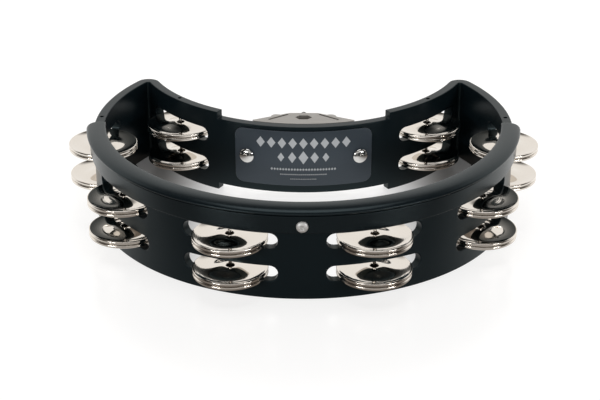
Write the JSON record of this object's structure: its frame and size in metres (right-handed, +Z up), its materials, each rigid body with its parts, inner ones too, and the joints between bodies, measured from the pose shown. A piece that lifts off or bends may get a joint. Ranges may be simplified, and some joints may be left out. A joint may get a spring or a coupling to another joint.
{
  "type": "tambourine",
  "caption": "Crescent tambourine for a drum kit: black moulded frame, striking rim, pinned nickel jingles in slots, name plate and a steel rod clamp at the back.",
  "frame": {"origin": "middle of the whole object's footprint, on the surface that it lies on", "axes": "+Z up, -Y towards the striking rim at the front, +Y towards the clamp, +X to the right as seen from the front"},
  "size_m": [0.3426, 0.2484, 0.067],
  "materials": {
    "frame_plastic": "satin black moulded plastic",
    "rim_rubber": "satin black hard rubber",
    "jingle_nickel": "polished nickel",
    "pin_steel": "bright steel",
    "bright_steel": "bright zinc-plated steel",
    "bracket_steel": "dull plated sheet steel",
    "cast_steel": "plated cast steel",
    "plate_slate": "satin slate-grey plate",
    "insert_brass": "turned brass"
  },
  "bodies": {
    "frame_assembly": {"frame": "frame_plastic", "striking_rim": "rim_rubber", "rim_screw": "bright_steel", "rim_screw_insert": "insert_brass", "name_plate": "plate_slate", "plate_bolt_left": "bright_steel", "plate_bolt_right": "bright_steel", "plate_washer_left": "bright_steel", "plate_washer_right": "bright_steel", "plate_nut_left": "bright_steel", "plate_nut_right": "bright_steel", "mounting_bracket": "bracket_steel", "clamp_washer": "bright_steel", "pin_front_left": "pin_steel", "pin_front_right": "pin_steel", "pin_left_front": "pin_steel", "pin_right_front": "pin_steel", "pin_left_side": "pin_steel", "pin_right_side": "pin_steel", "pin_back_left": "pin_steel", "pin_back_right": "pin_steel"},
    "eye_bolt": {"eye_bolt": "bright_steel"},
    "wing_nut": {"wing_nut": "cast_steel"},
    "jingle_front_left_lower_bottom": {"jingle_front_left_lower_bottom": "jingle_nickel"},
    "jingle_front_left_lower_top": {"jingle_front_left_lower_top": "jingle_nickel"},
    "jingle_front_left_upper_bottom": {"jingle_front_left_upper_bottom": "jingle_nickel"},
    "jingle_front_left_upper_top": {"jingle_front_left_upper_top": "jingle_nickel"},
    "jingle_front_right_lower_bottom": {"jingle_front_right_lower_bottom": "jingle_nickel"},
    "jingle_front_right_lower_top": {"jingle_front_right_lower_top": "jingle_nickel"},
    "jingle_front_right_upper_bottom": {"jingle_front_right_upper_bottom": "jingle_nickel"},
    "jingle_front_right_upper_top": {"jingle_front_right_upper_top": "jingle_nickel"},
    "jingle_left_front_lower_bottom": {"jingle_left_front_lower_bottom": "jingle_nickel"},
    "jingle_left_front_lower_top": {"jingle_left_front_lower_top": "jingle_nickel"},
    "jingle_left_front_upper_bottom": {"jingle_left_front_upper_bottom": "jingle_nickel"},
    "jingle_left_front_upper_top": {"jingle_left_front_upper_top": "jingle_nickel"},
    "jingle_right_front_lower_bottom": {"jingle_right_front_lower_bottom": "jingle_nickel"},
    "jingle_right_front_lower_top": {"jingle_right_front_lower_top": "jingle_nickel"},
    "jingle_right_front_upper_bottom": {"jingle_right_front_upper_bottom": "jingle_nickel"},
    "jingle_right_front_upper_top": {"jingle_right_front_upper_top": "jingle_nickel"},
    "jingle_left_side_lower_bottom": {"jingle_left_side_lower_bottom": "jingle_nickel"},
    "jingle_left_side_lower_top": {"jingle_left_side_lower_top": "jingle_nickel"},
    "jingle_left_side_upper_bottom": {"jingle_left_side_upper_bottom": "jingle_nickel"},
    "jingle_left_side_upper_top": {"jingle_left_side_upper_top": "jingle_nickel"},
    "jingle_right_side_lower_bottom": {"jingle_right_side_lower_bottom": "jingle_nickel"},
    "jingle_right_side_lower_top": {"jingle_right_side_lower_top": "jingle_nickel"},
    "jingle_right_side_upper_bottom": {"jingle_right_side_upper_bottom": "jingle_nickel"},
    "jingle_right_side_upper_top": {"jingle_right_side_upper_top": "jingle_nickel"},
    "jingle_back_left_lower_bottom": {"jingle_back_left_lower_bottom": "jingle_nickel"},
    "jingle_back_left_lower_top": {"jingle_back_left_lower_top": "jingle_nickel"},
    "jingle_back_left_upper_bottom": {"jingle_back_left_upper_bottom": "jingle_nickel"},
    "jingle_back_left_upper_top": {"jingle_back_left_upper_top": "jingle_nickel"},
    "jingle_back_right_lower_bottom": {"jingle_back_right_lower_bottom": "jingle_nickel"},
    "jingle_back_right_lower_top": {"jingle_back_right_lower_top": "jingle_nickel"},
    "jingle_back_right_upper_bottom": {"jingle_back_right_upper_bottom": "jingle_nickel"},
    "jingle_back_right_upper_top": {"jingle_back_right_upper_top": "jingle_nickel"}
  },
  "joints": [
    {"name": "eye_bolt_slide", "type": "slide", "parent": "frame_assembly", "child": "eye_bolt", "axis": [0, 1, 0], "range_m": [0, 0.0015]},
    {"name": "wing_nut_turn", "type": "hinge", "parent": "frame_assembly", "child": "wing_nut", "pos_m": [0, 0.06966, 0.0465], "axis": [0, -1, 0], "range_deg": [0, 540]},
    {"name": "front_left_lower_bottom_slide", "type": "slide", "parent": "frame_assembly", "child": "jingle_front_left_lower_bottom", "axis": [0, 0, 1], "range_m": [0, 0.0021]},
    {"name": "front_left_lower_top_slide", "type": "slide", "parent": "jingle_front_left_lower_bottom", "child": "jingle_front_left_lower_top", "axis": [0, 0, 1], "range_m": [0, 0.0021]},
    {"name": "front_left_upper_bottom_slide", "type": "slide", "parent": "frame_assembly", "child": "jingle_front_left_upper_bottom", "axis": [0, 0, 1], "range_m": [0, 0.0021]},
    {"name": "front_left_upper_top_slide", "type": "slide", "parent": "jingle_front_left_upper_bottom", "child": "jingle_front_left_upper_top", "axis": [0, 0, 1], "range_m": [0, 0.0021]},
    {"name": "front_right_lower_bottom_slide", "type": "slide", "parent": "frame_assembly", "child": "jingle_front_right_lower_bottom", "axis": [0, 0, 1], "range_m": [0, 0.0021]},
    {"name": "front_right_lower_top_slide", "type": "slide", "parent": "jingle_front_right_lower_bottom", "child": "jingle_front_right_lower_top", "axis": [0, 0, 1], "range_m": [0, 0.0021]},
    {"name": "front_right_upper_bottom_slide", "type": "slide", "parent": "frame_assembly", "child": "jingle_front_right_upper_bottom", "axis": [0, 0, 1], "range_m": [0, 0.0021]},
    {"name": "front_right_upper_top_slide", "type": "slide", "parent": "jingle_front_right_upper_bottom", "child": "jingle_front_right_upper_top", "axis": [0, 0, 1], "range_m": [0, 0.0021]},
    {"name": "left_front_lower_bottom_slide", "type": "slide", "parent": "frame_assembly", "child": "jingle_left_front_lower_bottom", "axis": [0, 0, 1], "range_m": [0, 0.0021]},
    {"name": "left_front_lower_top_slide", "type": "slide", "parent": "jingle_left_front_lower_bottom", "child": "jingle_left_front_lower_top", "axis": [0, 0, 1], "range_m": [0, 0.0021]},
    {"name": "left_front_upper_bottom_slide", "type": "slide", "parent": "frame_assembly", "child": "jingle_left_front_upper_bottom", "axis": [0, 0, 1], "range_m": [0, 0.0021]},
    {"name": "left_front_upper_top_slide", "type": "slide", "parent": "jingle_left_front_upper_bottom", "child": "jingle_left_front_upper_top", "axis": [0, 0, 1], "range_m": [0, 0.0021]},
    {"name": "right_front_lower_bottom_slide", "type": "slide", "parent": "frame_assembly", "child": "jingle_right_front_lower_bottom", "axis": [0, 0, 1], "range_m": [0, 0.0021]},
    {"name": "right_front_lower_top_slide", "type": "slide", "parent": "jingle_right_front_lower_bottom", "child": "jingle_right_front_lower_top", "axis": [0, 0, 1], "range_m": [0, 0.0021]},
    {"name": "right_front_upper_bottom_slide", "type": "slide", "parent": "frame_assembly", "child": "jingle_right_front_upper_bottom", "axis": [0, 0, 1], "range_m": [0, 0.0021]},
    {"name": "right_front_upper_top_slide", "type": "slide", "parent": "jingle_right_front_upper_bottom", "child": "jingle_right_front_upper_top", "axis": [0, 0, 1], "range_m": [0, 0.0021]},
    {"name": "left_side_lower_bottom_slide", "type": "slide", "parent": "frame_assembly", "child": "jingle_left_side_lower_bottom", "axis": [0, 0, 1], "range_m": [0, 0.0021]},
    {"name": "left_side_lower_top_slide", "type": "slide", "parent": "jingle_left_side_lower_bottom", "child": "jingle_left_side_lower_top", "axis": [0, 0, 1], "range_m": [0, 0.0021]},
    {"name": "left_side_upper_bottom_slide", "type": "slide", "parent": "frame_assembly", "child": "jingle_left_side_upper_bottom", "axis": [0, 0, 1], "range_m": [0, 0.0021]},
    {"name": "left_side_upper_top_slide", "type": "slide", "parent": "jingle_left_side_upper_bottom", "child": "jingle_left_side_upper_top", "axis": [0, 0, 1], "range_m": [0, 0.0021]},
    {"name": "right_side_lower_bottom_slide", "type": "slide", "parent": "frame_assembly", "child": "jingle_right_side_lower_bottom", "axis": [0, 0, 1], "range_m": [0, 0.0021]},
    {"name": "right_side_lower_top_slide", "type": "slide", "parent": "jingle_right_side_lower_bottom", "child": "jingle_right_side_lower_top", "axis": [0, 0, 1], "range_m": [0, 0.0021]},
    {"name": "right_side_upper_bottom_slide", "type": "slide", "parent": "frame_assembly", "child": "jingle_right_side_upper_bottom", "axis": [0, 0, 1], "range_m": [0, 0.0021]},
    {"name": "right_side_upper_top_slide", "type": "slide", "parent": "jingle_right_side_upper_bottom", "child": "jingle_right_side_upper_top", "axis": [0, 0, 1], "range_m": [0, 0.0021]},
    {"name": "back_left_lower_bottom_slide", "type": "slide", "parent": "frame_assembly", "child": "jingle_back_left_lower_bottom", "axis": [0, 0, 1], "range_m": [0, 0.0021]},
    {"name": "back_left_lower_top_slide", "type": "slide", "parent": "jingle_back_left_lower_bottom", "child": "jingle_back_left_lower_top", "axis": [0, 0, 1], "range_m": [0, 0.0021]},
    {"name": "back_left_upper_bottom_slide", "type": "slide", "parent": "frame_assembly", "child": "jingle_back_left_upper_bottom", "axis": [0, 0, 1], "range_m": [0, 0.0021]},
    {"name": "back_left_upper_top_slide", "type": "slide", "parent": "jingle_back_left_upper_bottom", "child": "jingle_back_left_upper_top", "axis": [0, 0, 1], "range_m": [0, 0.0021]},
    {"name": "back_right_lower_bottom_slide", "type": "slide", "parent": "frame_assembly", "child": "jingle_back_right_lower_bottom", "axis": [0, 0, 1], "range_m": [0, 0.0021]},
    {"name": "back_right_lower_top_slide", "type": "slide", "parent": "jingle_back_right_lower_bottom", "child": "jingle_back_right_lower_top", "axis": [0, 0, 1], "range_m": [0, 0.0021]},
    {"name": "back_right_upper_bottom_slide", "type": "slide", "parent": "frame_assembly", "child": "jingle_back_right_upper_bottom", "axis": [0, 0, 1], "range_m": [0, 0.0021]},
    {"name": "back_right_upper_top_slide", "type": "slide", "parent": "jingle_back_right_upper_bottom", "child": "jingle_back_right_upper_top", "axis": [0, 0, 1], "range_m": [0, 0.0021]}
  ],
  "couplings": [
    {"joint": "eye_bolt_slide", "follows": "wing_nut_turn", "m_per_rad": 0.00015915}
  ]
}
